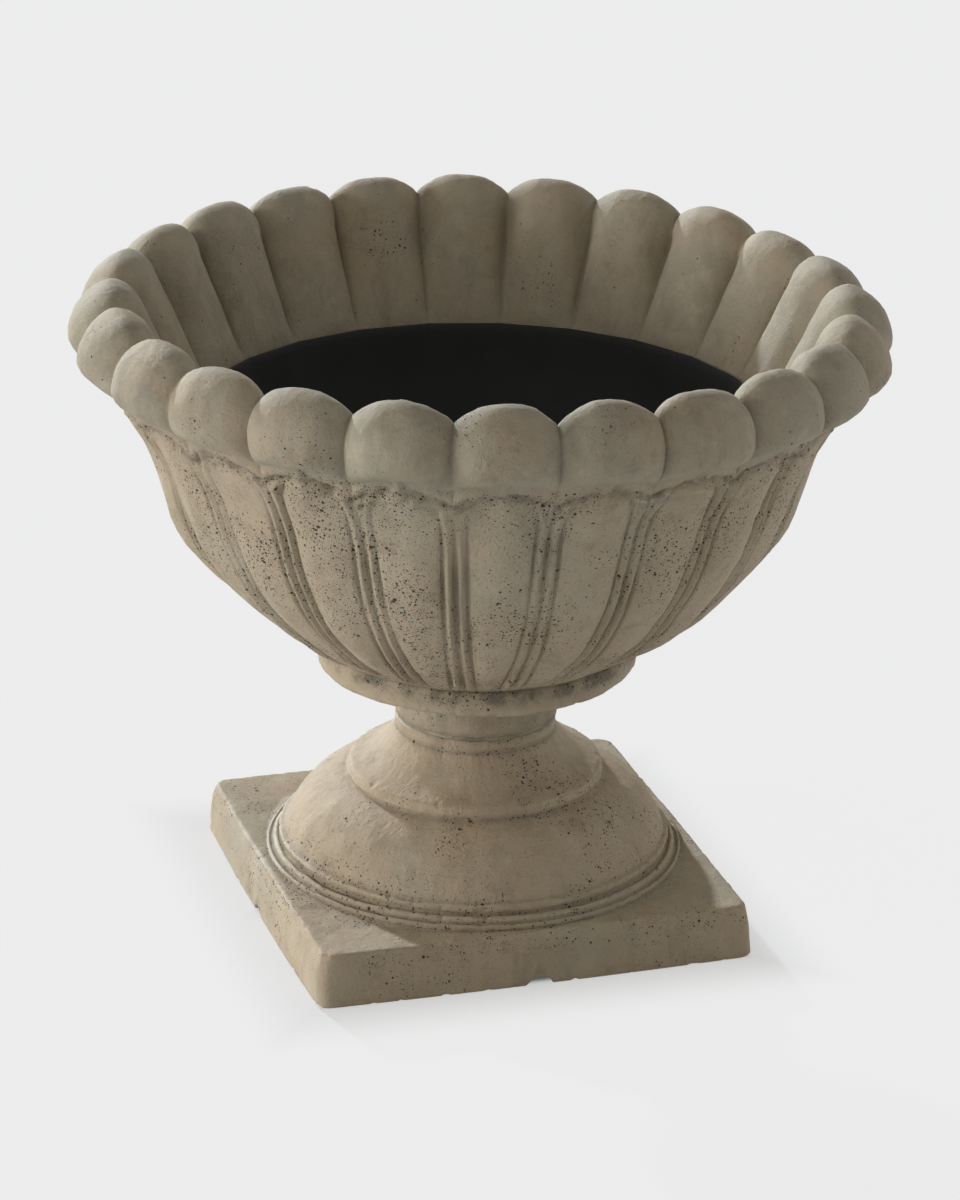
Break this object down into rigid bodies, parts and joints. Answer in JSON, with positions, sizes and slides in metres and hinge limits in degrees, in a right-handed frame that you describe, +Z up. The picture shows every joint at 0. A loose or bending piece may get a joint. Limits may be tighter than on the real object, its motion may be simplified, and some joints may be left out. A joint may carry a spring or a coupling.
{
  "type": "urn planter",
  "caption": "Low garden urn: scalloped, fluted bowl on a round neck, bell-shaped socle and square plinth, with a lift-out black liner and drain plug.",
  "frame": {"origin": "on the floor, under the middle of the plinth, where the bowl's upright axis meets it", "axes": "+Z up along the axis of the bowl, neck and socle; X and Y square to the plinth's sides; the picture's front plinth face looks along -Y"},
  "size_m": [0.6098, 0.6098, 0.4939],
  "materials": {
    "concrete": "matte",
    "mortar": "matte",
    "sleeve_plastic": "satin",
    "liner_plastic": "matte",
    "plug_rubber": "satin"
  },
  "bodies": {
    "stand": {"pedestal_casting": "concrete", "neck_mortar_bed": "mortar", "bowl_casting": "concrete", "drain_sleeve": "sleeve_plastic"},
    "liner": {"planting_liner": "liner_plastic"},
    "plug": {"drain_plug": "plug_rubber"}
  },
  "joints": [
    {"name": "liner_lift", "type": "slide", "parent": "stand", "child": "liner", "axis": [0, 0, 1], "range_m": [0, 0.3]},
    {"name": "plug_pull", "type": "slide", "parent": "liner", "child": "plug", "axis": [0, 0, 1], "range_m": [0, 0.3]}
  ]
}
